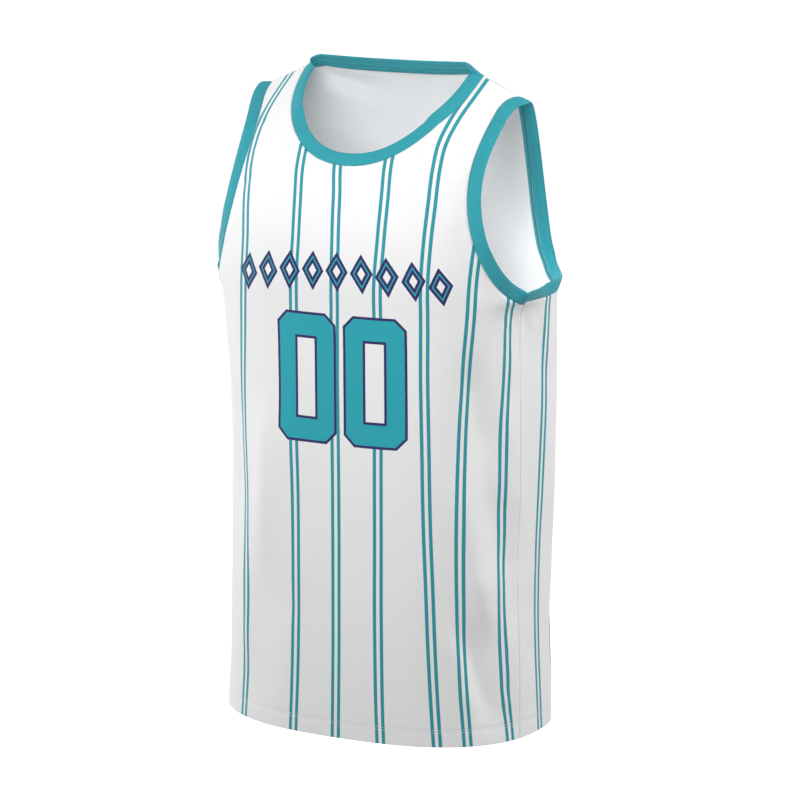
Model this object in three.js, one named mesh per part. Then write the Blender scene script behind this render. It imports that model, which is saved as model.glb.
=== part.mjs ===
// Sleeveless basketball jersey, filled out as on a wearer who isn't there.
// Millimetres, +Z up, the front faces -Y and the wearer's left is +X.
// The origin lies midway between the shoulders, level with the seam beside the neck,
// where the wearer holds the garment up.
import * as THREE from 'three';

// Driving sizes
const HEM_Z = -760;
const CHEST_Z = -250;
const CLOTH = 1.5;
const HEM_TURN_UP = 20;
const HEM_THICK = 2.6;
const SEAM_GAP = 0.3;
const HEM_RISE = 1;
const BINDING_WIDTH = 16;
const BINDING_THICK = 2.4;

// Level rings of the torso: half width, front, back, and where the ring is widest
const RINGS = [
  { z: HEM_Z, half: 197.5, front: -148, back: 117, wide: 0.5 },
  { z: -620, half: 192.5, front: -145.5, back: 114, wide: 13.5 },
  { z: -480, half: 193.5, front: -144, back: 110, wide: 20 },
  { z: -350, half: 197.5, front: -144, back: 105.5, wide: 13.5 },
  { z: CHEST_Z, half: 204, front: -148, back: 101, wide: -1.5 },
];
const FRONT_ROUNDNESS = 2.52;
const BACK_ROUNDNESS = 2.08;
const FRONT_LEAN_AT_CHEST = -0.138;
const RING_STEPS = 60;

// Shoulder seam: level beside the neck, then falling towards the armhole
const SHOULDER_LEVEL_TO = 95;
const SHOULDER_FALL = 0.38;
const SHOULDER_CURVE = 0.001;
const SHOULDER_SPREAD = 1.049;
const SHOULDER_TILT = THREE.MathUtils.degToRad(32);
const SHOULDER_DEPTH = 70;
const NECK_POINT_X = 114;
const SHOULDER_POINT_X = 158.2;

// The two panels. share is the part of the half girth; rise, reach and lean shape the
// cloth between chest and shoulder seam; neck and armhole are cut lines in the panel's own
// plane, its heights as shares of the yoke's length from chest to shoulder seam.
// armholeRound is how far the armhole swings out just below the shoulder seam: the front's
// right side sits a little wider than its left, as the photo shows it.
const FRONT = {
  name: 'front_panel',
  isBack: false,
  share: 0.426,
  rise: 0.488,
  reach: 0.83,
  lean: -0.114,
  length: 300,
  neckUp: 0.509,
  neckAcross: 2.14,
  neckDown: 2.06,
  armholeFoot: 54.7,
  armholeIn: 38.2,
  armholeDrop: 0.567,
  armholeRound: { left: -7.3, right: 6 },
  bowPower: 3,
};
const BACK = {
  name: 'back_panel',
  isBack: true,
  share: 1 - FRONT.share,
  rise: 0.177,
  reach: 0.328,
  lean: 0,
  length: 275,
  neckUp: 0.862,
  neckAcross: 2.76,
  neckDown: 2.76,
  armholeFoot: 179.8,
  armholeIn: -13.9,
  armholeDrop: 0.842,
  armholeRound: { left: 0, right: 0 },
  bowPower: 1.6,
};

// Depth below the shoulder seam where an armhole's rounding is widest
const ROUND_DEPTH = 22;
const SWING_POWER = 12;

// Mesh density
const NECK_COLUMNS = 12;
const NECK_CROWDING = 1.3;
const SHOULDER_COLUMNS = 5;
const HALF_COLUMNS = NECK_COLUMNS + SHOULDER_COLUMNS;
const BODY_ROWS = 12;
const YOKE_ROWS = 16;
const WAIST_LINE_DIP = 30;

// Share of a fold's length over which each end fades
const FOLD_FADE = 0.35;
// Step over which the cloth's slope is read
const SLOPE_STEP = 0.5;
// How many times a place on a ring is halved in on
const HALVINGS = 40;
// A cubic curve leaves its end at this many times its last control point's distance
const CUBIC_END_SPEED = 3;

// Large soft folds: both ends as [arc from the centre front, height], half width, swell
const FOLDS = [
  { from: [138, -385], to: [196, -655], width: 24, swell: 3.4 },
  { from: [160, -300], to: [180, -455], width: 20, swell: -2.6 },
  { from: [192, -455], to: [206, -585], width: 18, swell: -2.4 },
  { from: [160, -600], to: [192, -775], width: 24, swell: -3 },
  { from: [216, -585], to: [222, -745], width: 22, swell: 2.6 },
  { from: [-60, -350], to: [-128, -610], width: 30, swell: 2.8 },
  { from: [-176, -330], to: [-150, -560], width: 26, swell: -2.4 },
  { from: [-96, -560], to: [-120, -775], width: 30, swell: -2.2 },
  { from: [30, -520], to: [44, -770], width: 34, swell: 1.8 },
  { from: [-214, -420], to: [-196, -720], width: 24, swell: 2.4 },
  { from: [262, -300], to: [300, -560], width: 26, swell: 2.6 },
  { from: [330, -380], to: [356, -700], width: 30, swell: -3 },
  { from: [400, -520], to: [392, -775], width: 30, swell: 2.8 },
  { from: [455, -300], to: [500, -620], width: 34, swell: 2.4 },
  { from: [-276, -290], to: [-318, -600], width: 28, swell: -3 },
  { from: [-344, -420], to: [-330, -760], width: 28, swell: 3 },
  { from: [-430, -330], to: [-404, -640], width: 34, swell: -2.4 },
  { from: [-486, -500], to: [-500, -770], width: 32, swell: 2.2 },
  { from: [140, -435], to: [181, -635], width: 12, swell: 3 },
  { from: [208, -340], to: [220, -540], width: 15, swell: 3.2 },
  { from: [-98, -350], to: [-106, -560], width: 14, swell: 3 },
];

// Torso rings
function ringSize(key, z) {
  const last = RINGS.length - 1;
  const slopeAt = (i) => {
    if (i === last) {
      return key === 'front' ? FRONT_LEAN_AT_CHEST : 0;
    }
    const before = RINGS[Math.max(i - 1, 0)];
    const after = RINGS[i + 1];
    return (after[key] - before[key]) / (after.z - before.z);
  };
  let i = 0;
  while (i < last - 1 && z > RINGS[i + 1].z) {
    i += 1;
  }
  const low = RINGS[i];
  const high = RINGS[i + 1];
  const span = high.z - low.z;
  const s = (z - low.z) / span;
  const ease = s * s * (3 - 2 * s);
  const leave = s * (1 - s) * (1 - s) * span * slopeAt(i);
  const arrive = s * s * (s - 1) * span * slopeAt(i + 1);
  return low[key] + (high[key] - low[key]) * ease + leave + arrive;
}

// Half a ring as points and arc lengths, from the centre front to the centre back
const ringCache = new Map();
function halfRing(z) {
  if (ringCache.has(z)) {
    return ringCache.get(z);
  }
  const half = ringSize('half', z);
  const wide = ringSize('wide', z);
  const points = [];
  const arcs = [0];
  for (let k = 0; k <= 2 * RING_STEPS; k += 1) {
    const angle = (Math.PI / 2) * (k / RING_STEPS);
    const isBack = k > RING_STEPS;
    const power = 2 / (isBack ? BACK_ROUNDNESS : FRONT_ROUNDNESS);
    const depth = ringSize(isBack ? 'back' : 'front', z) - wide;
    const x = half * Math.sin(angle) ** power;
    const y = wide + depth * Math.abs(Math.cos(angle)) ** power;
    points.push([x, y]);
    if (k > 0) {
      arcs.push(arcs[k - 1] + Math.hypot(x - points[k - 1][0], y - points[k - 1][1]));
    }
  }
  points[2 * RING_STEPS][0] = 0;
  const ring = { points, arcs, length: arcs[2 * RING_STEPS] };
  ringCache.set(z, ring);
  return ring;
}

function ringPoint(ring, arc) {
  let k = 1;
  while (k < ring.arcs.length - 1 && ring.arcs[k] < arc) {
    k += 1;
  }
  const s = (arc - ring.arcs[k - 1]) / (ring.arcs[k] - ring.arcs[k - 1]);
  const [ax, ay] = ring.points[k - 1];
  const [bx, by] = ring.points[k];
  return [ax + (bx - ax) * s, ay + (by - ay) * s];
}

function panelHalfWidth(panel, z) {
  return panel.share * halfRing(z).length;
}

function shoulderZ(x) {
  const past = Math.max(Math.abs(x) - SHOULDER_LEVEL_TO, 0);
  return -SHOULDER_FALL * past - SHOULDER_CURVE * past * past;
}

function bezier(a, b, c, d, t) {
  const u = 1 - t;
  return u * u * u * a + 3 * u * u * t * b + 3 * u * t * t * c + t * t * t * d;
}

// The form without folds. across is mm from the panel's centre line, with the sign of X.
// height is mm along the cloth from the chest ring, negative below it.
function formPoint(panel, across, height) {
  const side = Math.sign(across);
  const z = Math.min(height, 0) + CHEST_Z;
  const up = height / panel.length;
  const ring = halfRing(z);
  const arc = panel.isBack ? ring.length - Math.abs(across) : Math.abs(across);
  const [x, y] = ringPoint(ring, arc);
  if (height <= 0) {
    return new THREE.Vector3(side * x, y, z);
  }
  const topX = x * SHOULDER_SPREAD;
  const topZ = shoulderZ(topX);
  const depth = Math.abs(y);
  const away = panel.isBack ? 1 : -1;
  const reach = away * panel.reach * depth;
  return new THREE.Vector3(
    side * (x + (topX - x) * up * up),
    bezier(y, y + panel.lean * depth, reach * Math.cos(SHOULDER_TILT), 0, up),
    bezier(
      CHEST_Z,
      CHEST_Z + panel.rise * (topZ - CHEST_Z),
      topZ + reach * Math.sin(SHOULDER_TILT),
      topZ,
      up,
    ),
  );
}

function outward(pointAt, panel, across, height) {
  const top = Math.min(height + SLOPE_STEP, panel.length);
  const alongX = pointAt(panel, across + SLOPE_STEP, height)
    .sub(pointAt(panel, across - SLOPE_STEP, height));
  const alongZ = pointAt(panel, across, top)
    .sub(pointAt(panel, across, height - SLOPE_STEP));
  const normal = alongX.cross(alongZ).normalize();
  return panel.isBack ? normal.negate() : normal;
}

function smooth(value) {
  const s = THREE.MathUtils.clamp(value, 0, 1);
  return s * s * (3 - 2 * s);
}

// How far the folds lift the cloth off the form at one place
function foldLift(panel, across, height) {
  const girth = halfRing(Math.min(height, 0) + CHEST_Z).length;
  const place = (arc) => (panel.isBack ? Math.sign(arc) * (girth - Math.abs(arc)) : arc);
  let lift = 0;
  for (const fold of FOLDS) {
    const ax = place(fold.from[0]);
    const bx = place(fold.to[0]);
    const dx = bx - ax;
    const dz = fold.to[1] - fold.from[1];
    const length = Math.hypot(dx, dz);
    const px = across - ax;
    const pz = CHEST_Z + height - fold.from[1];
    const along = (px * dx + pz * dz) / (length * length);
    const aside = (px * dz - pz * dx) / length;
    if (along > 0 && along < 1) {
      const ends = smooth(along / FOLD_FADE) * smooth((1 - along) / FOLD_FADE);
      lift += fold.swell * ends * Math.exp(-((aside / fold.width) ** 2));
    }
  }
  return lift;
}

function clothPoint(panel, across, height) {
  const point = formPoint(panel, across, height);
  const lift = foldLift(panel, across, height);
  return point.addScaledVector(outward(formPoint, panel, across, height), lift);
}

// Cut lines of one half panel, each as [across, height]
function acrossAtShoulder(panel, shoulderX) {
  const ring = halfRing(CHEST_Z);
  const wanted = shoulderX / SHOULDER_SPREAD;
  let low = panel.isBack ? ring.arcs[RING_STEPS] : 0;
  let high = panel.isBack ? ring.length : ring.arcs[RING_STEPS];
  for (let turn = 0; turn < HALVINGS; turn += 1) {
    const middle = (low + high) / 2;
    const isShort = ringPoint(ring, middle)[0] < wanted;
    if (isShort !== panel.isBack) {
      low = middle;
    } else {
      high = middle;
    }
  }
  return panel.isBack ? ring.length - low : low;
}

function neckLine(panel, s) {
  const angle = (Math.PI / 2) * s * (NECK_CROWDING - (NECK_CROWDING - 1) * s);
  const width = acrossAtShoulder(panel, NECK_POINT_X);
  const across = width * Math.sin(angle) ** (2 / panel.neckAcross);
  const cosine = Math.max(Math.cos(angle), 0);
  const down = (1 - panel.neckUp) * cosine ** (2 / panel.neckDown);
  return [across, (1 - down) * panel.length];
}

function armholeCurve(panel, s) {
  const foot = panelHalfWidth(panel, CHEST_Z);
  const top = acrossAtShoulder(panel, SHOULDER_POINT_X);
  return [
    bezier(foot, foot - panel.armholeFoot, top - panel.armholeIn, top, s),
    panel.length * bezier(0, 0, 1 - panel.armholeDrop, 1, s),
  ];
}

function armholeSwing(panel, side, height) {
  const round = side > 0 ? panel.armholeRound.left : panel.armholeRound.right;
  const down = (panel.length - height) / ROUND_DEPTH;
  return round * down * Math.exp(1 - down);
}

function armholeLine(panel, side, s) {
  const [across, height] = armholeCurve(panel, s);
  return [across + armholeSwing(panel, side, height), height];
}

function upperLine(panel, column) {
  if (column <= NECK_COLUMNS) {
    return neckLine(panel, column / NECK_COLUMNS);
  }
  const inner = acrossAtShoulder(panel, NECK_POINT_X);
  const outer = acrossAtShoulder(panel, SHOULDER_POINT_X);
  const s = (column - NECK_COLUMNS) / SHOULDER_COLUMNS;
  return [inner + (outer - inner) * s, panel.length];
}

// The line between body and yoke: level at the centre and at the side seam
function waistLine(panel, column) {
  const r = column / HALF_COLUMNS;
  const height = -WAIST_LINE_DIP * 4 * r * (1 - r);
  return [panelHalfWidth(panel, CHEST_Z + height) * r, height];
}

// One half of the yoke: columns lean from that line to the neck or the shoulder seam,
// those near the armhole take its bow, and the nearest ones its swing below the shoulder
function yokePlace(panel, side, column, row) {
  const s = row / YOKE_ROWS;
  const weight = (column / HALF_COLUMNS) ** panel.bowPower;
  const bottom = waistLine(panel, column);
  const top = upperLine(panel, column);
  const foot = armholeCurve(panel, 0);
  const shoulder = armholeCurve(panel, 1);
  const arm = armholeCurve(panel, s);
  const [across, height] = [0, 1].map((k) => {
    const bow = arm[k] - foot[k] - (shoulder[k] - foot[k]) * s;
    return bottom[k] + (top[k] - bottom[k]) * s + weight * bow;
  });
  const nearness = (column / HALF_COLUMNS) ** SWING_POWER;
  return [across + nearness * armholeSwing(panel, side, arm[1]), height];
}

// Rows of places from the hem to the shoulder seam; the panel keeps half a seam's gap
function panelRows(panel) {
  const inset = 1 - SEAM_GAP / 2 / panelHalfWidth(panel, CHEST_Z);
  const lower = 1 - SEAM_GAP / 2 / (CUBIC_END_SPEED * panel.reach * SHOULDER_DEPTH);
  const turn = panel.isBack ? -1 : 1;
  const columns = [];
  for (let column = -HALF_COLUMNS; column <= HALF_COLUMNS; column += 1) {
    columns.push(column * turn);
  }
  const hem = HEM_Z - CHEST_Z;
  const bodyStart = hem + HEM_TURN_UP;
  const shares = [];
  for (let row = 0; row < BODY_ROWS; row += 1) {
    shares.push(row / BODY_ROWS);
  }
  const bodyPlace = (column, height) => {
    const across = (panelHalfWidth(panel, CHEST_Z + height) * column) / HALF_COLUMNS;
    return { across: across * inset, height };
  };
  const rows = [hem, bodyStart - HEM_RISE].map((height) => (
    columns.map((column) => bodyPlace(column, height))
  ));
  for (const share of shares) {
    rows.push(columns.map((column) => {
      const end = waistLine(panel, Math.abs(column))[1];
      return bodyPlace(column, bodyStart + (end - bodyStart) * share);
    }));
  }
  for (let row = 0; row <= YOKE_ROWS; row += 1) {
    rows.push(columns.map((column) => {
      const side = Math.sign(column);
      const [across, height] = yokePlace(panel, side, Math.abs(column), row);
      return { across: side * across * inset, height: height * lower };
    }));
  }
  return rows;
}

// Closed solids from grids
function solidOf(vertices, faces) {
  const geometry = new THREE.BufferGeometry();
  const positions = new Float32Array(vertices.flatMap((v) => v.toArray()));
  geometry.setAttribute('position', new THREE.BufferAttribute(positions, 3));
  geometry.setIndex(faces);
  geometry.computeVertexNormals();
  return geometry;
}

function pushQuad(faces, vertices, a, b, c, d) {
  const first = vertices[a].distanceTo(vertices[c]);
  const second = vertices[b].distanceTo(vertices[d]);
  if (first <= second) {
    faces.push(a, b, c, a, c, d);
  } else {
    faces.push(a, b, d, b, c, d);
  }
}

function wallThickness(height) {
  const hemTop = HEM_Z + HEM_TURN_UP - HEM_RISE / 2;
  return CHEST_Z + height < hemTop ? HEM_THICK : CLOTH;
}

function panelGeometry(panel) {
  const rows = panelRows(panel);
  const rowCount = rows.length;
  const columnCount = rows[0].length;
  const outside = [];
  const inside = [];
  for (const row of rows) {
    for (const { across, height } of row) {
      const point = clothPoint(panel, across, height);
      const normal = outward(clothPoint, panel, across, height);
      outside.push(point);
      inside.push(point.clone().addScaledVector(normal, -wallThickness(height)));
    }
  }
  const vertices = [...outside, ...inside];
  const inner = outside.length;
  const at = (row, column) => row * columnCount + column;
  const faces = [];
  for (let row = 0; row + 1 < rowCount; row += 1) {
    for (let column = 0; column + 1 < columnCount; column += 1) {
      const a = at(row, column);
      const b = at(row, column + 1);
      const c = at(row + 1, column + 1);
      const d = at(row + 1, column);
      pushQuad(faces, vertices, a, b, c, d);
      pushQuad(faces, vertices, inner + a, inner + d, inner + c, inner + b);
    }
  }
  const border = [];
  for (let column = 0; column < columnCount; column += 1) {
    border.push(at(0, column));
  }
  for (let row = 1; row < rowCount; row += 1) {
    border.push(at(row, columnCount - 1));
  }
  for (let column = columnCount - 2; column >= 0; column -= 1) {
    border.push(at(rowCount - 1, column));
  }
  for (let row = rowCount - 2; row > 0; row -= 1) {
    border.push(at(row, 0));
  }
  border.forEach((a, k) => {
    const b = border[(k + 1) % border.length];
    pushQuad(faces, vertices, a, inner + a, inner + b, b);
  });
  return solidOf(vertices, faces);
}

// Stations on a cut line: the place, the way out of the cloth, and how far the binding leans
// away from the body there
function station(panel, side, place, lean) {
  const across = side * place[0];
  return {
    point: clothPoint(panel, across, place[1]),
    normal: outward(clothPoint, panel, across, place[1]),
    lean,
  };
}

function neckStations() {
  const stations = [];
  for (let k = -NECK_COLUMNS; k <= NECK_COLUMNS; k += 1) {
    stations.push(station(FRONT, Math.sign(k), neckLine(FRONT, Math.abs(k) / NECK_COLUMNS), 0));
  }
  for (let k = NECK_COLUMNS - 1; k > -NECK_COLUMNS; k -= 1) {
    stations.push(station(BACK, Math.sign(k), neckLine(BACK, Math.abs(k) / NECK_COLUMNS), 0));
  }
  return stations;
}

// How far the armhole bindings lean: at the underarm, halfway up, and at the shoulder.
// The wearer's right one stands less proud, as the photo shows it.
const LEAN_LEFT = { foot: 0.1, middle: 0.5, top: 0.1 };
const LEAN_RIGHT = { foot: 0, middle: 0.15, top: 0.42 };
const LEAN_MIDDLE = 0.5;
const LEAN_TOP_FROM = 0.55;

function leanAt(lean, s) {
  const rise = (lean.middle - lean.foot) * smooth(s / LEAN_MIDDLE);
  const turn = smooth((s - LEAN_TOP_FROM) / (1 - LEAN_TOP_FROM));
  return lean.foot + rise + (lean.top - lean.middle) * turn;
}

function armholeStations(side, lean) {
  const stations = [];
  for (let k = 0; k <= YOKE_ROWS; k += 1) {
    const s = k / YOKE_ROWS;
    stations.push(station(FRONT, side, armholeLine(FRONT, side, s), leanAt(lean, s)));
  }
  for (let k = YOKE_ROWS - 1; k > 0; k -= 1) {
    const s = k / YOKE_ROWS;
    stations.push(station(BACK, side, armholeLine(BACK, side, s), leanAt(lean, s)));
  }
  return stations;
}

// A ribbed binding: a flat band with a rounded folded edge, swept round an opening.
// Its section runs from the seam to the folded edge, as [way in, height off the cloth].
const BINDING_PROUD = 0.4;
const BINDING_CROWN = 0.2;
const BINDING_ROUND = 1.2;
const BINDING_TOP = BINDING_PROUD;
const BINDING_UNDER = BINDING_PROUD - BINDING_THICK;
const BINDING_SECTION = [
  [SEAM_GAP, BINDING_TOP],
  [BINDING_WIDTH / 2, BINDING_TOP + BINDING_CROWN],
  [BINDING_WIDTH - BINDING_ROUND, BINDING_TOP],
  [BINDING_WIDTH, BINDING_TOP - BINDING_THICK / 3],
  [BINDING_WIDTH, BINDING_UNDER + BINDING_THICK / 3],
  [BINDING_WIDTH - BINDING_ROUND, BINDING_UNDER],
  [BINDING_WIDTH / 2, BINDING_UNDER],
  [SEAM_GAP, BINDING_UNDER],
];

function bindingGeometry(stations) {
  const count = stations.length;
  const centre = new THREE.Vector3();
  stations.forEach(({ point }) => centre.addScaledVector(point, 1 / count));
  const vertices = [];
  stations.forEach(({ point, normal, lean }, k) => {
    const before = stations[(k + count - 1) % count].point;
    const after = stations[(k + 1) % count].point;
    const along = after.clone().sub(point).normalize();
    along.add(point.clone().sub(before).normalize());
    const inward = along.cross(normal).normalize();
    if (inward.dot(centre.clone().sub(point)) < 0) {
      inward.negate();
    }
    inward.addScaledVector(normal, lean).normalize();
    const lift = normal.clone().addScaledVector(inward, -normal.dot(inward)).normalize();
    for (const [way, height] of BINDING_SECTION) {
      vertices.push(point.clone().addScaledVector(inward, way).addScaledVector(lift, height));
    }
  });
  const sides = BINDING_SECTION.length;
  const faces = [];
  for (let k = 0; k < count; k += 1) {
    const next = (k + 1) % count;
    for (let side = 0; side < sides; side += 1) {
      const other = (side + 1) % sides;
      pushQuad(
        faces,
        vertices,
        k * sides + side,
        next * sides + side,
        next * sides + other,
        k * sides + other,
      );
    }
  }
  if (signedVolume(vertices, faces) < 0) {
    faces.reverse();
  }
  return solidOf(vertices, faces);
}

function signedVolume(vertices, faces) {
  let volume = 0;
  for (let k = 0; k < faces.length; k += 3) {
    const [a, b, c] = [vertices[faces[k]], vertices[faces[k + 1]], vertices[faces[k + 2]]];
    volume += a.dot(b.clone().cross(c)) / 6;
  }
  return volume;
}

// Cloth and rib
const cloth = () => new THREE.MeshStandardMaterial({ color: 0xf1f1f0, roughness: 0.8, metalness: 0 });
const rib = () => new THREE.MeshStandardMaterial({ color: 0x35a4b1, roughness: 0.85, metalness: 0 });

function piece(name, geometry, material) {
  const mesh = new THREE.Mesh(geometry, material);
  mesh.name = name;
  return mesh;
}

const jersey = new THREE.Group();
jersey.add(
  piece(FRONT.name, panelGeometry(FRONT), cloth()),
  piece(BACK.name, panelGeometry(BACK), cloth()),
  piece('neck_binding', bindingGeometry(neckStations()), rib()),
  piece('armhole_binding_left', bindingGeometry(armholeStations(1, LEAN_LEFT)), rib()),
  piece('armhole_binding_right', bindingGeometry(armholeStations(-1, LEAN_RIGHT)), rib()),
);

export default jersey;
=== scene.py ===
import math

import bpy
import numpy as np
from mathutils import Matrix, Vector
from mathutils.geometry import delaunay_2d_cdt


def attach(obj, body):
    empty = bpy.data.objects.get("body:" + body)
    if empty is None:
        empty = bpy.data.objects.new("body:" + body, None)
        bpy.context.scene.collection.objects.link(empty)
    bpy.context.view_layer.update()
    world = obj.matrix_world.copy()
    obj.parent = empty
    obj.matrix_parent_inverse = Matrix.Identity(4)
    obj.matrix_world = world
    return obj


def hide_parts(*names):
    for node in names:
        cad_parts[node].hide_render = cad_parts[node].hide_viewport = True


# Sleeveless basketball jersey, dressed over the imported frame.
# Sizes are in millimetres until a mesh is written, and MM turns them into metres.
# Cloth places are (across, height): mm from the panel's centre line with the sign of X,
# and mm along the cloth from the chest ring, negative below it.

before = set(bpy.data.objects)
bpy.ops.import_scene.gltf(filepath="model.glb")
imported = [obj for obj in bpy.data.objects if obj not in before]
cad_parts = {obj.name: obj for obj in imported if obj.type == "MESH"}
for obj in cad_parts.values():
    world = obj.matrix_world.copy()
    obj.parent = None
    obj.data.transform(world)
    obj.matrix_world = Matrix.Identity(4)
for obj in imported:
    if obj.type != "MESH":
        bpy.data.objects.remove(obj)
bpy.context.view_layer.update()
MM = 0.001

# Driving sizes, as in the part's source
HEM_Z = -760.0
CHEST_Z = -250.0
HEM_HEIGHT = HEM_Z - CHEST_Z

# Level rings of the torso: height, half width, front, back, and where it is widest
RINGS = {
    "z": np.array([HEM_Z, -620.0, -480.0, -350.0, CHEST_Z]),
    "half": np.array([197.5, 192.5, 193.5, 197.5, 204.0]),
    "front": np.array([-148.0, -145.5, -144.0, -144.0, -148.0]),
    "back": np.array([117.0, 114.0, 110.0, 105.5, 101.0]),
    "wide": np.array([0.5, 13.5, 20.0, 13.5, -1.5]),
}
FRONT_ROUNDNESS = 2.52
BACK_ROUNDNESS = 2.08
FRONT_LEAN_AT_CHEST = -0.138

# The shoulders: level up to an X, then falling and curving down
SHOULDER_LEVEL_TO = 95.0
SHOULDER_FALL = 0.38
SHOULDER_CURVE = 0.001
SHOULDER_SPREAD = 1.049
SHOULDER_TILT = math.radians(32.0)
NECK_POINT_X = 114.0
SHOULDER_POINT_X = 158.2
# Depth below the shoulder seam where an armhole's swing is widest
ROUND_DEPTH = 22.0

# Each panel's share of the half girth, its yoke's curve, length, neck and armholes
FRONT = {
    "back": False,
    "share": 0.426,
    "rise": 0.488,
    "reach": 0.83,
    "lean": -0.114,
    "length": 300.0,
    "neck_up": 0.509,
    "neck_across": 2.14,
    "neck_down": 2.06,
    "armhole_foot": 54.7,
    "armhole_in": 38.2,
    "armhole_drop": 0.567,
    "armhole_round": {1: -7.3, -1: 6.0},
}
BACK = {
    "back": True,
    "share": 1 - FRONT["share"],
    "rise": 0.177,
    "reach": 0.328,
    "lean": 0.0,
    "length": 275.0,
    "neck_up": 0.862,
    "neck_across": 2.76,
    "neck_down": 2.76,
    "armhole_foot": 179.8,
    "armhole_in": -13.9,
    "armhole_drop": 0.842,
    "armhole_round": {1: 0.0, -1: 0.0},
}

# Large soft folds, as in the solids: arc from the centre front and z at the start,
# the same at the end, half width and swell
FOLDS = [
    (138, -385, 196, -655, 24, 3.4), (160, -300, 180, -455, 20, -2.6), (192, -455, 206, -585, 18, -2.4),
    (160, -600, 192, -775, 24, -3), (216, -585, 222, -745, 22, 2.6), (-60, -350, -128, -610, 30, 2.8),
    (-176, -330, -150, -560, 26, -2.4), (-96, -560, -120, -775, 30, -2.2), (30, -520, 44, -770, 34, 1.8),
    (-214, -420, -196, -720, 24, 2.4), (262, -300, 300, -560, 26, 2.6), (330, -380, 356, -700, 30, -3),
    (400, -520, 392, -775, 30, 2.8), (455, -300, 500, -620, 34, 2.4), (-276, -290, -318, -600, 28, -3),
    (-344, -420, -330, -760, 28, 3), (-430, -330, -404, -640, 34, -2.4), (-486, -500, -500, -770, 32, 2.2),
    (140, -435, 181, -635, 12, 3), (208, -340, 220, -540, 15, 3.2), (-98, -350, -106, -560, 14, 3),
]


# Small helpers

def unit(vectors):
    return vectors / (np.linalg.norm(vectors, axis=1, keepdims=True) + 1e-12)


def square_to(vectors, others):
    """The part of each vector at right angles to a unit vector, at length 1."""
    return unit(vectors - others * np.sum(vectors * others, axis=1, keepdims=True))


def pairs(first, second):
    return np.stack([first, second], axis=1)


def smooth(value):
    s = np.clip(value, 0, 1)
    return s * s * (3 - 2 * s)


def curve_through(at, places, values, slopes):
    """A smooth curve through the values at rising places, with a set slope at each."""
    i = np.clip(np.searchsorted(places, at) - 1, 0, len(places) - 2)
    span = places[i + 1] - places[i]
    s = np.clip((at - places[i]) / span, 0, 1)
    leave = s * (1 - s) ** 2 * span * slopes[i]
    arrive = s * s * (s - 1) * span * slopes[i + 1]
    return values[i] + (values[i + 1] - values[i]) * smooth(s) + leave + arrive


def put(name, data):
    obj = bpy.data.objects.new(name, data)
    bpy.context.scene.collection.objects.link(obj)
    return obj


# Form

def ring_size(key, z):
    """A ring size at each z: smooth between the rings, with a set slope at the chest."""
    levels, values = RINGS["z"], RINGS[key]
    slopes = np.empty(len(levels))
    slopes[0] = (values[1] - values[0]) / (levels[1] - levels[0])
    slopes[1:-1] = (values[2:] - values[:-2]) / (levels[2:] - levels[:-2])
    slopes[-1] = FRONT_LEAN_AT_CHEST if key == "front" else 0.0
    return curve_through(z, levels, values, slopes)


class RingTable:
    """Half rings at close levels, as X and Y over the share of their arc."""

    LEVEL_STEP = 2.0
    SHARES = 900
    ANGLES = 260

    def __init__(self):
        self.z = np.arange(HEM_Z - 30.0, CHEST_Z + self.LEVEL_STEP / 2, self.LEVEL_STEP)
        share = np.linspace(0, 1, self.SHARES + 1)
        self.length = np.empty(len(self.z))
        self.xy = np.empty((len(self.z), self.SHARES + 1, 2))
        angle = np.linspace(0, math.pi, 2 * self.ANGLES + 1)
        is_back = angle > math.pi / 2
        power = np.where(is_back, 2 / BACK_ROUNDNESS, 2 / FRONT_ROUNDNESS)
        side = np.clip(np.sin(angle), 0, 1) ** power
        depth = np.abs(np.cos(angle)) ** power
        for k, z in enumerate(self.z):
            z = max(z, HEM_Z)
            wide = ring_size("wide", z)
            end = np.where(is_back, ring_size("back", z), ring_size("front", z))
            x = ring_size("half", z) * side
            y = wide + (end - wide) * depth
            arc = np.concatenate([[0], np.cumsum(np.hypot(np.diff(x), np.diff(y)))])
            self.length[k] = arc[-1]
            self.xy[k, :, 0] = np.interp(share * arc[-1], arc, x)
            self.xy[k, :, 1] = np.interp(share * arc[-1], arc, y)

    def girth(self, z):
        return np.interp(z, self.z, self.length)

    def point(self, z, arc):
        level = np.clip((z - self.z[0]) / self.LEVEL_STEP, 0, len(self.z) - 1.001)
        k = level.astype(int)
        share = np.clip(arc / self.girth(z), 0, 1) * self.SHARES
        j = np.clip(share.astype(int), 0, self.SHARES - 1)
        v = (level - k)[:, None]
        u = (share - j)[:, None]
        low = self.xy[k, j] * (1 - u) + self.xy[k, j + 1] * u
        high = self.xy[k + 1, j] * (1 - u) + self.xy[k + 1, j + 1] * u
        return low * (1 - v) + high * v


RING = RingTable()
CHEST_GIRTH = float(RING.girth(CHEST_Z))


def half_width(panel, height):
    return panel["share"] * RING.girth(np.minimum(height, 0) + CHEST_Z)


def bezier(a, b, c, d, t):
    u = 1 - t
    return u ** 3 * a + 3 * u * u * t * b + 3 * u * t * t * c + t ** 3 * d


def shoulder_z(x):
    past = np.maximum(np.abs(x) - SHOULDER_LEVEL_TO, 0)
    return -SHOULDER_FALL * past - SHOULDER_CURVE * past * past


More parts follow.
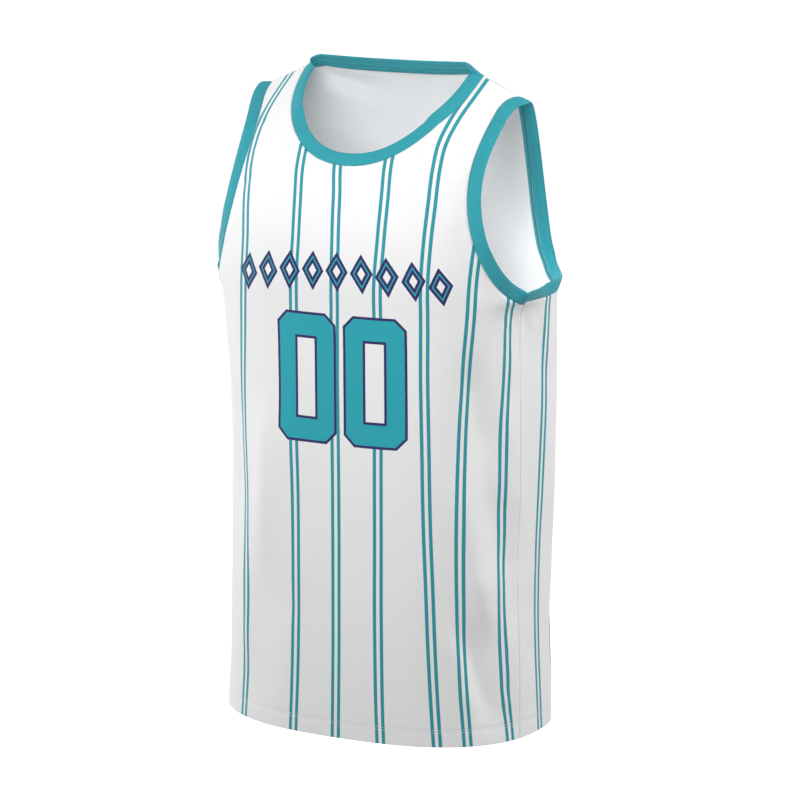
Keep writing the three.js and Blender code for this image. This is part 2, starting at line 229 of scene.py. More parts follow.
def form_points(panel, across, height):
    """The form without folds."""
    side = np.sign(across)
    z = np.minimum(height, 0) + CHEST_Z
    up = np.maximum(height, 0) / panel["length"]
    arc = np.abs(across)
    if panel["back"]:
        arc = RING.girth(z) - arc
    x, y = RING.point(z, arc).T
    top_x = x * SHOULDER_SPREAD
    top_z = shoulder_z(top_x)
    depth = np.abs(y)
    reach = (1 if panel["back"] else -1) * panel["reach"] * depth
    yoke_y = bezier(y, y + panel["lean"] * depth, reach * math.cos(SHOULDER_TILT), 0, up)
    rise_z = CHEST_Z + panel["rise"] * (top_z - CHEST_Z)
    yoke_z = bezier(CHEST_Z, rise_z, top_z + reach * math.sin(SHOULDER_TILT), top_z, up)
    in_yoke = height > 0
    return np.stack([
        side * (x + (top_x - x) * up * up),
        np.where(in_yoke, yoke_y, y),
        np.where(in_yoke, yoke_z, z),
    ], axis=1)


def outward(point_at, panel, across, height, step=1.0):
    top = np.minimum(height + step, panel["length"])
    along_x = point_at(panel, across + step, height) - point_at(panel, across - step, height)
    along_z = point_at(panel, across, top) - point_at(panel, across, height - step)
    return unit(np.cross(along_x, along_z)) * (-1 if panel["back"] else 1)


def fold_lift(panel, across, height, folds, ends=0.35):
    """How far a list of folds lifts the cloth off the form."""
    girth = RING.girth(np.minimum(height, 0) + CHEST_Z)
    lift = np.zeros(len(across))
    for ax, az, bx, bz, width, swell in folds:
        if panel["back"]:
            ax = math.copysign(1, ax) * (girth - abs(ax))
            bx = math.copysign(1, bx) * (girth - abs(bx))
        dx = bx - ax
        dz = bz - az
        length = np.hypot(dx, dz)
        px = across - ax
        pz = CHEST_Z + height - az
        along = (px * dx + pz * dz) / length ** 2
        aside = (px * dz - pz * dx) / length
        fade = smooth(along / ends) * smooth((1 - along) / ends)
        lift += swell * fade * np.exp(-(aside / width) ** 2)
    return lift


# Cut lines of one half panel

def across_at_shoulder(panel, shoulder_x):
    share = np.linspace(0, 1, 4001)
    arc = share * CHEST_GIRTH
    x = RING.point(np.full(4001, CHEST_Z), arc)[:, 0]
    widest = int(x.argmax())
    wanted = shoulder_x / SHOULDER_SPREAD
    if panel["back"]:
        return float(CHEST_GIRTH - np.interp(wanted, x[widest:][::-1], arc[widest:][::-1]))
    return float(np.interp(wanted, x[:widest], arc[:widest]))


def neck_line(panel, s):
    angle = (math.pi / 2) * s
    across = panel["neck_x"] * np.sin(angle) ** (2 / panel["neck_across"])
    cosine = np.clip(np.cos(angle), 0, 1)
    down = (1 - panel["neck_up"]) * cosine ** (2 / panel["neck_down"])
    return pairs(across, (1 - down) * panel["length"])


def neck_height(panel, across):
    """The neck line's height over each place, and the shoulder seam's beside the neck."""
    share = np.clip(np.abs(across) / panel["neck_x"], 0, 1) ** panel["neck_across"]
    return (1 - (1 - panel["neck_up"]) * (1 - share) ** (1 / panel["neck_down"])) * panel["length"]


def armhole_line(panel, side, s):
    foot = float(half_width(panel, np.array([0.0]))[0])
    top = panel["shoulder_x"]
    across = bezier(foot, foot - panel["armhole_foot"], top - panel["armhole_in"], top, s)
    height = panel["length"] * bezier(0, 0, 1 - panel["armhole_drop"], 1, s)
    down = (panel["length"] - height) / ROUND_DEPTH
    swing = panel["armhole_round"][side] * down * np.exp(1 - down)
    return pairs(across + swing, height)


for panel in (FRONT, BACK):
    panel["neck_x"] = across_at_shoulder(panel, NECK_POINT_X)
    panel["shoulder_x"] = across_at_shoulder(panel, SHOULDER_POINT_X)


# Cloth relief: what lifts the cloth off the form besides the large folds

# Creases in each panel's own places: across and height at the start and at the end,
# half width and swell
FRONT_CREASES = [
    (118, 286, 150, 262, 3, 1), (124, 266, 152, 240, 3.2, -1.2), (120, 240, 144, 214, 3.5, 1.2),
    (108, 200, 136, 176, 4, -1.2), (112, 164, 140, 138, 4.5, 1.1), (124, 120, 152, 84, 6, 0.9),
    (134, 92, 168, 50, 7, -1), (176, 26, 150, -60, 9, 1.2), (196, 2, 178, -90, 8, -1.3),
    (214, -12, 206, -110, 7, 1), (-118, 236, -140, 210, 3.5, -0.6), (-110, 190, -134, 168, 4, 0.8),
    (-116, 146, -146, 112, 5, -0.8), (-134, 96, -170, 42, 7, 1), (-168, 30, -150, -70, 9, -1.2),
    (-200, -6, -186, -104, 8, 1.2), (70, 150, 112, 96, 12, 0.9), (-72, 150, -118, 90, 12, -0.8),
    (205, -330, 224, -372, 4, 0.7), (202, -404, 223, -440, 4, -0.7), (196, -452, 222, -478, 4.5, 0.8),
    (-206, -300, -222, -352, 4, -0.7), (-200, -398, -223, -430, 4.5, 0.8),
    (-198, -446, -222, -482, 4, -0.6), (-30, -300, -44, -505, 16, -0.9), (88, -260, 104, -470, 15, 1),
    (156, -50, 178, -190, 10, -2), (168, -150, 194, -320, 10.5, -2.3), (166, -290, 190, -400, 10, 1.6),
    (126, -350, 170, -500, 12, 2.4), (142, -340, 190, -495, 10.5, -2.8), (216, -285, 220, -385, 13, -2.2),
    (214, -380, 216, -450, 12, 1.6), (-160, -100, -163, -290, 8, -2.6), (-98, -290, -58, -390, 14, -1.8),
    (-150, -290, -130, -460, 14, 2), (222, -5, 192, -38, 3.4, 0.9), (225, -12, 208, -62, 3.2, -1),
    (-223, -6, -194, -42, 3.6, -0.9), (-226, -14, -212, -60, 3.2, 0.9),
]
BACK_CREASES = [
    (-108, 256, -2, 238, 6, 1), (-112, 242, -6, 216, 6.5, -1.2), (-118, 226, -14, 194, 7, 1.3),
    (-124, 206, -26, 168, 8, -1.3), (-130, 184, -40, 136, 9, 1.2), (104, 258, 30, 238, 6, 0.9),
    (114, 232, 34, 208, 7, -1), (122, 202, 48, 164, 8, 1), (158, 120, 120, 40, 10, -1),
    (182, 72, 150, -20, 9, 1.2), (232, 18, 204, -80, 9, -1.2), (270, 2, 250, -92, 8, 1.1),
    (-166, 110, -128, 26, 10, 1.1), (-190, 60, -162, -40, 9, -1.1), (-240, 14, -212, -86, 9, 1.2),
    (-276, 0, -262, -84, 8, -1), (262, -300, 300, -360, 5, 0.8), (270, -396, 302, -440, 5, -0.8),
    (-264, -250, -300, -316, 5, 0.8), (-272, -402, -303, -450, 5, -0.7), (-60, 60, -80, -150, 20, 1.2),
    (66, 40, 96, -180, 20, -1.2), (120, -150, 170, -380, 13, 2.4), (-150, -200, -110, -420, 13, -2.4),
    (200, -320, 236, -480, 12, -2.2), (-220, -120, -236, -300, 13, 2.4), (300, -8, 274, -44, 4, 1.1),
    (304, -12, 290, -72, 3.4, -1.2), (-300, -8, -272, -40, 4, -1), (-304, -14, -292, -66, 3.4, 1.1),
]
for panel, creases in ((FRONT, FRONT_CREASES), (BACK, BACK_CREASES)):
    panel["creases"] = [
        (ax, az + CHEST_Z, bx, bz + CHEST_Z, width, swell) for ax, az, bx, bz, width, swell in creases
    ]

# The hem: heights of its stitch rows, the length turned up and the fold's radius
HEM_STITCH_ROWS = (16.2, 19.4)
HEM_TURN_UP = 21.0
HEM_FOLD_RADIUS = 0.95
HEM_FOLD_ARC = math.pi * HEM_FOLD_RADIUS
PANEL_FOOT = HEM_HEIGHT - HEM_TURN_UP - HEM_FOLD_ARC
# Its rows of stitches draw the cloth in: how deep and how wide
STITCH_DIP = (0.3, 0.9)
# A seam's valley: depth and width. The ridge beside it: rise, way in and width
SEAM_VALLEY = (0.5, 1.0)
SEAM_RIDGE = (0.36, 3.4, 2.2)
# Creases stop this far from the neck and the shoulder, over the seams' allowances,
# and fade in over these widths there and at the side seams
CREASE_FREE = 9.0
CREASE_FADE = 14.0
CREASE_SIDE_FADE = 16.0
# Small gathers at the side seams and the hem: swell and reach
SIDE_PUCKER = (0.34, 9.0)
HEM_PUCKER = (0.22, 11.0)


def from_side(panel, across, height):
    """How far each place lies in from the side seam."""
    return half_width(panel, height) - np.abs(across)


def crease_lift(panel, across, height):
    """Creases in the panel's own places: fold_lift without the turn round the body."""
    own = dict(panel, back=False)
    below = np.minimum(panel["length"], neck_height(panel, across)) - height
    still = smooth((below - CREASE_FREE) / CREASE_FADE)
    aside = from_side(panel, across, height)
    still = still * np.where(height < 0, smooth(aside / CREASE_SIDE_FADE), 1.0)
    return still * fold_lift(own, across, height, panel["creases"])


def side_pucker(panel, across, height):
    """Small uneven gathers that the side seam draws up, the same on both panels."""
    aside = from_side(panel, across, height)
    turn = np.where(across > 0, 0.0, 2.1)
    wave = np.sin(height / 9.5 + 1.4 * np.sin(height / 41 + turn) + turn)
    slow = 0.6 + 0.4 * np.sin(height / 57 + 1.3 + turn)
    swell, reach = SIDE_PUCKER
    return swell * wave * slow * np.exp(-(aside / reach) ** 2) * (height < 0)


# The hollow under each armhole: how deep, how far down it is deepest, and how wide
UNDERARM_HOLLOW = 8.0
UNDERARM_DOWN = 28.0
UNDERARM_WIDE = 38.0


def underarm_hollow(panel, across, height):
    """The cloth falls inwards just below the underarm, then swings out again."""
    aside = from_side(panel, across, height)
    down = np.maximum(-height, 0) / UNDERARM_DOWN
    return -UNDERARM_HOLLOW * down * np.exp(1 - down) * np.exp(-(aside / UNDERARM_WIDE) ** 2)


def hem_pucker(panel, across, height):
    """Small uneven gathers along the hem's stitching."""
    turn = 1.7 if panel["back"] else 0.0
    wave = np.sin(across / 3.1 + 1.6 * np.sin(across / 23 + turn))
    slow = 0.55 + 0.45 * np.sin(across / 47 + turn)
    above = height - HEM_HEIGHT - HEM_STITCH_ROWS[1]
    swell, reach = HEM_PUCKER
    return swell * wave * slow * np.exp(-(above / reach) ** 2)


def drape_points(panel, across, height):
    """The draped cloth, without its seams and its hem."""
    points = form_points(panel, across, height)
    lift = fold_lift(panel, across, height, FOLDS)
    lift += crease_lift(panel, across, height)
    lift += side_pucker(panel, across, height)
    lift += underarm_hollow(panel, across, height)
    lift += hem_pucker(panel, across, height)
    return points + outward(form_points, panel, across, height) * lift[:, None]


def stitch_dip(height):
    deep, wide = STITCH_DIP
    dip = 0.0
    for row in HEM_STITCH_ROWS:
        dip = dip - deep * np.exp(-((height - HEM_HEIGHT - row) / wide) ** 2)
    return dip


def seam_relief(aside):
    """A seam's valley at the edge, and the soft ridge of its allowance beside it."""
    deep, reach = SEAM_VALLEY
    rise, way_in, wide = SEAM_RIDGE
    return rise * np.exp(-((aside - way_in) / wide) ** 2) - deep * np.exp(-(aside / reach) ** 2)


def distance_to(line, places):
    """Distance from each place to a polyline of places."""
    best = np.full(len(places), 1e9)
    for a, b in zip(line[:-1], line[1:]):
        step = b - a
        t = np.clip(((places - a) @ step) / (step @ step + 1e-12), 0, 1)
        best = np.minimum(best, np.linalg.norm(places - a - t[:, None] * step, axis=1))
    return best


def cloth_points(panel, across, height, borders=()):
    """The cloth with its seams and its turned-up hem."""
    past = np.maximum(HEM_HEIGHT - height, 0)
    angle = np.minimum(past, HEM_FOLD_ARC) / HEM_FOLD_RADIUS
    ridden = np.maximum(height, HEM_HEIGHT) + np.maximum(past - HEM_FOLD_ARC, 0)
    points = drape_points(panel, across, ridden)
    normals = outward(drape_points, panel, across, ridden)
    aside = from_side(panel, across, ridden)
    lift = np.where(height <= 0, seam_relief(aside), 0.0) + stitch_dip(ridden)
    for line in borders:
        lift += seam_relief(distance_to(line, pairs(across, height)))
    inset = HEM_FOLD_RADIUS * (1 - np.cos(angle))
    points = points + normals * (lift - inset)[:, None]
    points[:, 2] -= HEM_FOLD_RADIUS * np.sin(angle)
    return points


# Where an armhole's cut line meets the side seam, the front's end hangs a little lower:
# how far, and over what width
UNDERARM_STEP = 3.4
UNDERARM_STEP_WIDE = 13.0


def cut_armhole(panel, side, s):
    line = armhole_line(panel, side, s)
    if not panel["back"]:
        line[:, 1] -= UNDERARM_STEP * np.exp(-((line[0, 0] - line[:, 0]) / UNDERARM_STEP_WIDE) ** 2)
    return line


# The printed pattern, in each panel's own places

STRIPE_WIDTH = 4.1
STRIPE_APART = 8.0

# Stripe pairs from the hem up, as (height, across)
FRONT_STRIPES = [
    [(-545, -213), (-500, -212), (-150, -206), (40, -210)],
    [
        (-545, -140), (-440, -137), (-290, -137), (-150, -142), (-19, -131), (60, -123), (109, -128),
        (160, -135), (222, -138), (320, -126),
    ],
    [
        (-545, -57.5), (-420, -54), (-235, -53.5), (-74, -55.5), (-10, -52.5), (70, -48), (110, -51),
        (142, -56), (220, -63),
    ],
    [(-545, 0), (-415, 1), (-230, 0), (-34, -0.5), (62, 3), (90, 1), (115, -2), (146, -8.5), (200, -18)],
    [
        (-545, 59), (-488, 56.5), (-412, 54.5), (-225, 52.5), (-64, 53), (-1, 54), (66, 58.5), (118, 56.5),
        (150, 52), (220, 44),
    ],
    [
        (-545, 127), (-484, 121.8), (-408, 116.6), (-315, 112.2), (-268, 110), (-176, 107.8), (-61, 106.8),
        (2, 108.6), (70, 111.8), (110, 111.5), (157, 107.2), (190, 104.4), (228, 106.1), (270, 110),
        (320, 113),
    ],
    [
        (-545, 162), (-485, 156.9), (-455, 153.8), (-409, 150.9), (-362, 148.7), (-315, 147.2), (-268, 146.4),
        (-221, 146.6), (-176, 148.1), (-130, 150.3), (-96, 152.8), (-61, 154.8), (2, 161.4), (78, 168.4),
        (130, 172),
    ],
    [
        (-545, 216), (-492, 211.9), (-461, 206.5), (-414, 202.4), (-367, 199.3), (-320, 198.3), (-274, 200),
        (-227, 198.7), (-180, 198.8), (-134, 199.8), (-100, 203), (-66, 205.4), (-20, 208), (60, 213),
    ],
]
# Places across of the back's pairs at the hem, low on the back and at the top
BACK_PAIRS = ((266, 260.4, 268), (212, 207, 210), (159, 155, 180), (106, 103, 102), (53, 51.5, 50))
BACK_STRIPES = [
    [(-545, side * foot), (-500, side * foot), (-160, side * middle), (320, side * top)]
    for side in (-1, 1)
    for foot, middle, top in BACK_PAIRS
]
BACK_STRIPES.append([(-545, 0), (320, 0)])

# Block numerals, and over them an arched row of plain lozenges
DIGIT_WIDTH = 77.5
DIGIT_HEIGHT = 151.0
DIGIT_STROKE = 27.5
DIGIT_STROKE_LEVEL = 30.5
DIGIT_CHAMFER = 13.0
DIGIT_GAP = 9.0
PRINT_CENTRE = 5.8
DIGIT_TOP = -16.0
OUTLINE = 3.1

LOZENGES = 9
LOZENGE_PITCH = 30.6
LOZENGE_WIDTH = 28.0
LOZENGE_HEIGHT = 41.0
LOZENGE_EYE = 0.34
ROW_TOP_CENTRE = 29.0
ROW_DROP = 5.7e-4


def chamfered(cx, cy, width, height, chamfer):
    w, h, c = width / 2, height / 2, chamfer
    corners = [(-w + c, -h), (w - c, -h), (w, -h + c), (w, h - c)]
    corners += [(w - c, h), (-w + c, h), (-w, h - c), (-w, -h + c)]
    return np.array([(cx + x, cy + y) for x, y in corners])


def lozenge(cx, cy, width, height, tilt):
    corners = np.array([(0, -height / 2), (width / 2, 0), (0, height / 2), (-width / 2, 0)])
    turn = np.array([[math.cos(tilt), math.sin(tilt)], [-math.sin(tilt), math.cos(tilt)]])
    return corners @ turn + np.array([cx, cy])


def front_prints():
    """Outlines with their ink, from the lowest layer to the top one."""
    prints = []
    digit = (DIGIT_WIDTH, DIGIT_HEIGHT)
    eye = (DIGIT_WIDTH - 2 * DIGIT_STROKE, DIGIT_HEIGHT - 2 * DIGIT_STROKE_LEVEL)
    layers = (
        (*digit, 0.0, DIGIT_CHAMFER, "navy"),
        (*digit, -OUTLINE, DIGIT_CHAMFER - OUTLINE * 0.6, "teal"),
        (*eye, OUTLINE, 1.0, "navy"),
        (*eye, 0.0, 0.6, "bare"),
    )
    for side in (-1, 1):
        cx = PRINT_CENTRE + side * (DIGIT_WIDTH + DIGIT_GAP) / 2
        cy = DIGIT_TOP - DIGIT_HEIGHT / 2
        for width, height, grow, chamfer, ink in layers:
            prints.append((chamfered(cx, cy, width + 2 * grow, height + 2 * grow, chamfer), ink))
    slope = math.hypot(LOZENGE_WIDTH, LOZENGE_HEIGHT) / (LOZENGE_WIDTH * LOZENGE_HEIGHT)
    for k in range(LOZENGES):
        x = (k - (LOZENGES - 1) / 2) * LOZENGE_PITCH
        tilt = math.atan(2 * ROW_DROP * x)
        cy = ROW_TOP_CENTRE - ROW_DROP * x * x
        for share, grow, ink in (
            (1.0, 0.0, "navy"), (1.0, -OUTLINE, "teal"),
            (LOZENGE_EYE, OUTLINE, "navy"), (LOZENGE_EYE, 0.0, "bare"),
        ):
            scale = share + 2 * grow * slope
            outline = lozenge(PRINT_CENTRE + x, cy, LOZENGE_WIDTH * scale, LOZENGE_HEIGHT * scale, tilt)
            prints.append((outline, ink))
    return prints


FRONT["stripes"] = FRONT_STRIPES
FRONT["prints"] = front_prints()
BACK["stripes"] = BACK_STRIPES
BACK["prints"] = []


def stripe_line(stripe, heights):
    """A stripe pair's middle line: smooth through its places."""
    at, across = np.array(stripe, dtype=float).T
    return curve_through(heights, at, across, np.gradient(across, at))


def stripe_edges():
    half_gap = STRIPE_APART / 2
    return [
        side * half_gap + edge * STRIPE_WIDTH / 2
        for side in (-1, 1)
        for edge in (-1, 1)
    ]


def inside(outline, places):
    """Which places lie in an outline, by crossings."""
    x, y = places[:, 0], places[:, 1]
    found = np.zeros(len(places), dtype=bool)
    ax, ay = outline[-1]
    for bx, by in outline:
        crosses = (ay > y) != (by > y)
        with np.errstate(divide="ignore", invalid="ignore"):
            at = (bx - ax) * (y - ay) / (by - ay) + ax
        found ^= crosses & (x < at)
        ax, ay = bx, by
    return found


# Panel meshes

GRAIN = 5.0
# The cloth's two edges almost touch along a seam
CLOTH_GAP = 0.14
CLOTH_THICK = 0.9
RAIL_OFFSETS = (0.7, 1.5, 2.7, 4.4, 7.0)
# Spacing of mesh points along the hem, the straight seams, the curved cuts and the print
HEM_SPACING = 5.0
STRAIGHT_SPACING = 4.0
CUT_SPACING = 3.0
STRIPE_SPACING = 5.5
PRINT_SPACING = 4.5
# Points nearer than this to a fixed one are left out: beside seams and in the hem
SEAM_CLEAR = 0.6
HEM_CLEAR = 0.35
PANEL_SLOTS = ["cloth", "stripe", "teal", "navy", "lining"]


def resample(line, spacing):
    line = np.asarray(line, dtype=float)
    length = np.concatenate([[0], np.cumsum(np.linalg.norm(np.diff(line, axis=0), axis=1))])
    count = max(int(round(length[-1] / spacing)), 1)
    at = np.linspace(0, length[-1], count + 1)
    return np.stack([np.interp(at, length, line[:, k]) for k in (0, 1)], axis=1)


def side_line(panel):
    heights = np.linspace(HEM_HEIGHT, 0, 120)
    return pairs(half_width(panel, heights), heights)


def half_border(panel, side):
    """One half of a panel's outline, from the hem's middle to the neck's middle."""
    gap = CLOTH_GAP / 2
    s = np.linspace(0, 1, 220)
    arm = cut_armhole(panel, side, s)
    heights = np.linspace(PANEL_FOOT, arm[0, 1], 260)
    edge = pairs(half_width(panel, heights) - gap, heights)
    neck = neck_line(panel, s)
    shoulder = np.array([arm[-1], neck[-1]])
    shoulder[:, 1] -= gap
    arm[:, 0] -= gap
    parts = [
        resample([(0, PANEL_FOOT), tuple(edge[0])], HEM_SPACING),
        resample(edge, STRAIGHT_SPACING),
        resample(arm, CUT_SPACING),
        resample(shoulder, STRAIGHT_SPACING),
        resample(neck[::-1], CUT_SPACING),
    ]
    half = np.concatenate([part[1:] for part in parts])
    return half[half[:, 0] > 1e-3] * np.array([side, 1])


def panel_border(panel):
    """The panel's outline, counter-clockwise from the hem's middle."""
    top = neck_line(panel, np.zeros(1))
    bottom = np.array([[0, PANEL_FOOT]])
    return np.concatenate([bottom, half_border(panel, 1), top, half_border(panel, -1)[::-1]])


def panel_cuts(panel):
    """The lines that the panel is sewn along above the underarm, on both halves."""
    cuts = []
    for side in (1, -1):
        arm = cut_armhole(panel, side, np.linspace(0, 1, 55))
        neck = neck_line(panel, np.linspace(0, 1, 55))
        shoulder = np.array([arm[-1], neck[-1]])
        cuts += [line * np.array([side, 1]) for line in (arm, neck, shoulder)]
    return cuts


def hem_levels():
    """Levels that carry the hem's fold, its stitch rows and its turned-up flap."""
    levels = [HEM_HEIGHT - HEM_FOLD_ARC * k / 8 for k in range(9)]
    levels += [HEM_HEIGHT + rise for rise in (0.6, 1.8, 4.0, 7.5, 11.0, 13.8, 15.0)]
    for row in HEM_STITCH_ROWS:
        levels += [HEM_HEIGHT + row + off for off in (-0.7, 0.0, 0.7)]
    levels += [HEM_HEIGHT + rise for rise in (17.8, 21.2, 23.0, 26.0)]
    fold_end = HEM_HEIGHT - HEM_FOLD_ARC
    levels += list(np.arange(fold_end - HEM_TURN_UP, fold_end - 1, STRAIGHT_SPACING))
    return np.array(sorted(levels))


def rails(line):
    """Points beside a cut line, close enough together to carry its seam."""
    line = resample(line, CUT_SPACING)
    way = unit(np.gradient(line, axis=0))
    across = pairs(-way[:, 1], way[:, 0])
    return [line + side * off * across for side in (-1, 1) for off in RAIL_OFFSETS]


def panel_lines(panel):
    """Stripe edges and print outlines, as open and closed lines."""
    lines = []
    low = hem_levels()
    for stripe in panel["stripes"]:
        heights = np.arange(low[-1] + 4, stripe[-1][0], STRIPE_SPACING)
        heights = np.concatenate([low, heights])
        middle = stripe_line(stripe, heights)
        for offset in stripe_edges():
            lines.append(pairs(middle + offset, heights))
    for outline, _ in panel["prints"]:
        corners = np.concatenate([outline, outline[:1]])
        sides = [resample(corners[k:k + 2], PRINT_SPACING) for k in range(len(outline))]
        lines.append(np.concatenate([side[:-1] for side in sides] + [outline[:1]]))
    return lines


def near_any(points, others, reach):
    """Points that have one of the others within reach, by a cell grid."""
    cells = {}
    for x, y in others:
        cells.setdefault((int(x // reach), int(y // reach)), []).append((x, y))
    keep = np.ones(len(points), dtype=bool)
    for k, (x, y) in enumerate(points):
        i, j = int(x // reach), int(y // reach)
        for di in (-1, 0, 1):
            for dj in (-1, 0, 1):
                for ox, oy in cells.get((i + di, j + dj), ()):
                    if (ox - x) ** 2 + (oy - y) ** 2 < reach * reach:
                        keep[k] = False
    return ~keep


def panel_mesh_places(panel):
    """Triangulates the panel's outline with its printed lines, in cloth places."""
    outline, cuts = panel_border(panel), panel_cuts(panel)
    lines = panel_lines(panel)
    points = [outline]
    edges = [(k, (k + 1) % len(outline)) for k in range(len(outline))]
    start = len(outline)
    for line in lines:
        points.append(line)
        edges += [(start + k, start + k + 1) for k in range(len(line) - 1)]
        start += len(line)
    fixed = np.concatenate(points)
    low, high = outline.min(axis=0), outline.max(axis=0)
    seams = []
    sides = [side_line(panel) * np.array([side, 1]) for side in (1, -1)]
    for line in cuts + sides:
        seams += rails(line)
    seams = np.concatenate(seams)
    seams = seams[inside(outline, seams)]
    seams = seams[~near_any(seams, fixed, SEAM_CLEAR)]
    level = GRAIN * math.sqrt(3) / 2
    levels = hem_levels()
    xs = np.arange(low[0], high[0], GRAIN)
    rows = [pairs(xs, np.full(len(xs), y)) for y in levels]
    for k, y in enumerate(np.arange(levels[-1] + level, high[1], level)):
        shifted = xs + GRAIN / 2 * (k % 2)
        rows.append(pairs(shifted, np.full(len(xs), y)))
    grid = np.concatenate(rows)
    grid = grid[inside(outline, grid)]
    in_hem = grid[:, 1] <= levels[-1] + 1e-6
    taken = np.concatenate([fixed, seams])
    loose = grid[~in_hem]
    loose = loose[~near_any(loose, taken, GRAIN * 0.5)]
    hem = grid[in_hem]
    hem = hem[~near_any(hem, fixed, HEM_CLEAR)]
    seams = seams[seams[:, 1] > levels[-1]]
    everything = np.concatenate([fixed, seams, hem, loose])
    verts, _, faces, _, _, _ = delaunay_2d_cdt(
        [Vector(p) for p in everything], edges, [], 0, 1e-4, False,
    )
    places = np.array([(v.x, v.y) for v in verts])
    faces = np.array(faces)
    middles = places[faces].mean(axis=1)
    faces = faces[inside(outline, middles)]
    used = np.unique(faces)
    renumber = np.full(len(places), -1)
    renumber[used] = np.arange(len(used))
    return places[used], renumber[faces], cuts


def panel_inks(panel, middles):
    """The material slot of each face, by its middle."""
    slots = np.zeros(len(middles), dtype=int)
    for stripe in panel["stripes"]:
        away = middles[:, 0] - stripe_line(stripe, middles[:, 1])
        in_reach = (middles[:, 1] > stripe[0][0]) & (middles[:, 1] < stripe[-1][0])
        on_line = np.abs(np.abs(away) - STRIPE_APART / 2) < STRIPE_WIDTH / 2
        slots[on_line & in_reach] = PANEL_SLOTS.index("stripe")
    for outline, ink in panel["prints"]:
        hit = inside(outline, middles)
        if ink == "bare":
            slots[hit] = np.where(slots[hit] >= 2, 0, slots[hit])
        else:
            slots[hit] = PANEL_SLOTS.index(ink)
    return slots


def to_mesh(name, points, faces, slots, uv=None):
    mesh = bpy.data.meshes.new(name)
    mesh.from_pydata((np.asarray(points) * MM).tolist(), [], [list(f) for f in faces])
    mesh.polygons.foreach_set("material_index", np.asarray(slots, dtype=np.int32))
    mesh.polygons.foreach_set("use_smooth", np.ones(len(mesh.polygons), dtype=bool))
    if uv is not None:
        layer = mesh.uv_layers.new(name="cloth")
        corner = np.empty(len(mesh.loops), dtype=np.int32)
        mesh.loops.foreach_get("vertex_index", corner)
        layer.data.foreach_set("uv", (np.asarray(uv)[corner] * MM).astype(np.float32).ravel())
    mesh.update()
    return put(name, mesh)


def border_edges(faces):
    """Directed edges that belong to one face alone."""
    edges = np.concatenate([faces[:, [0, 1]], faces[:, [1, 2]], faces[:, [2, 0]]])
    known = {(a, b) for a, b in edges.tolist()}
    return [(a, b) for a, b in edges.tolist() if (b, a) not in known]


def vertex_normals(points, faces):
    normals = np.zeros_like(points)
    crossed = np.cross(
        points[faces[:, 1]] - points[faces[:, 0]],
        points[faces[:, 2]] - points[faces[:, 0]],
    )
    for k in range(3):
        np.add.at(normals, faces[:, k], crossed)
    return unit(normals)


def panel_object(panel, name):
    """A panel of thin cloth: its printed face, its plain lining side and its cut edge."""
    places, faces, cuts = panel_mesh_places(panel)
    inks = panel_inks(panel, places[faces].mean(axis=1))
    points = cloth_points(panel, places[:, 0], places[:, 1], cuts)
    if panel["back"]:
        faces = faces[:, ::-1]
    normals = vertex_normals(points, faces)
    count = len(points)
    rim = [(b, a, a + count, b + count) for a, b in border_edges(faces)]
    lining = PANEL_SLOTS.index("lining")
    all_points = np.concatenate([points, points - normals * CLOTH_THICK])
    all_faces = faces.tolist() + (faces[:, ::-1] + count).tolist() + rim
    slots = np.concatenate([inks, np.full(len(faces) + len(rim), lining)])
    return to_mesh(name, all_points, all_faces, slots, np.concatenate([places, places]))


# Bindings: a folded band of rib round an opening, its seam allowance and its stitches

# The band's section from its seam to its folded edge and back, as (way in, height)
BAND_SECTION = np.array([
    (0.15, -0.5), (0.7, 0.05), (1.7, 0.4), (3.4, 0.55), (5.6, 0.62), (8.0, 0.65),
    (10.4, 0.6), (12.6, 0.5), (14.2, 0.28), (15.2, -0.1), (15.8, -0.55), (16.0, -0.95),
    (15.85, -1.4), (15.3, -1.8), (14.2, -2.0), (12.0, -2.02), (9.6, -2.0), (7.6, -1.98),
    (6.9, -2.12), (6.2, -2.36), (4.4, -2.42), (2.4, -2.4), (0.9, -2.25), (0.2, -1.7),
])
ALLOWANCE_SECTION = np.array([
    (0.5, -2.15), (0.1, -1.85), (-0.9, -1.72), (-2.6, -1.38), (-4.6, -1.22), (-5.7, -1.2),
    (-6.2, -1.5), (-5.9, -1.95), (-4.6, -2.12), (-2.6, -2.3), (-0.9, -2.72), (0.2, -2.8),
])
# How far an armhole's band leans away from the body: at the underarm, halfway, at the shoulder
ARMHOLE_LEAN = {1: (0.1, 0.5, 0.1), -1: (-0.27, 0.15, 0.42)}
# Threads on the allowance: way out from the seam, depth, length and radius
THREAD_ROWS = ((0.6, 2.86, 1.7, 0.3), (5.2, 2.1, 1.5, 0.26))
BAND_SPACING = 1.1
# The hem's threads: spacing, length, radius, lift and how far short of the side seam they stop
HEM_THREAD_SPACING = 2.9
HEM_THREAD_LENGTH = 2.3
HEM_THREAD_RADIUS = 0.24
HEM_THREAD_LIFT = 0.1
HEM_THREAD_SHORT = 1.5


def soften(values, reach):
    """Evens out a loop of values with a window of the given reach on each side."""
    total = np.zeros_like(values)
    weight = 0.0
    for k in range(-reach, reach + 1):
        w = math.exp(-(2.0 * k / (reach + 1)) ** 2)
        total += w * np.roll(values, k, axis=0)
        weight += w
    return total / weight


def loop_along(points):
    return unit(np.roll(points, -1, axis=0) - np.roll(points, 1, axis=0))


def even_loop(stations, spacing):
    """Stations of point, normal and lean at an even spacing round a closed loop."""
    closed = np.concatenate([stations, stations[:1]])
    steps = np.linalg.norm(np.diff(closed[:, :3], axis=0), axis=1)
    length = np.concatenate([[0], np.cumsum(steps)])
    count = int(round(length[-1] / spacing))
    at = np.arange(count) * length[-1] / count
    even = np.stack([np.interp(at, length, column) for column in closed.T], axis=1)
    return even[:, :3], even[:, 3:6], even[:, 6:], length[-1]


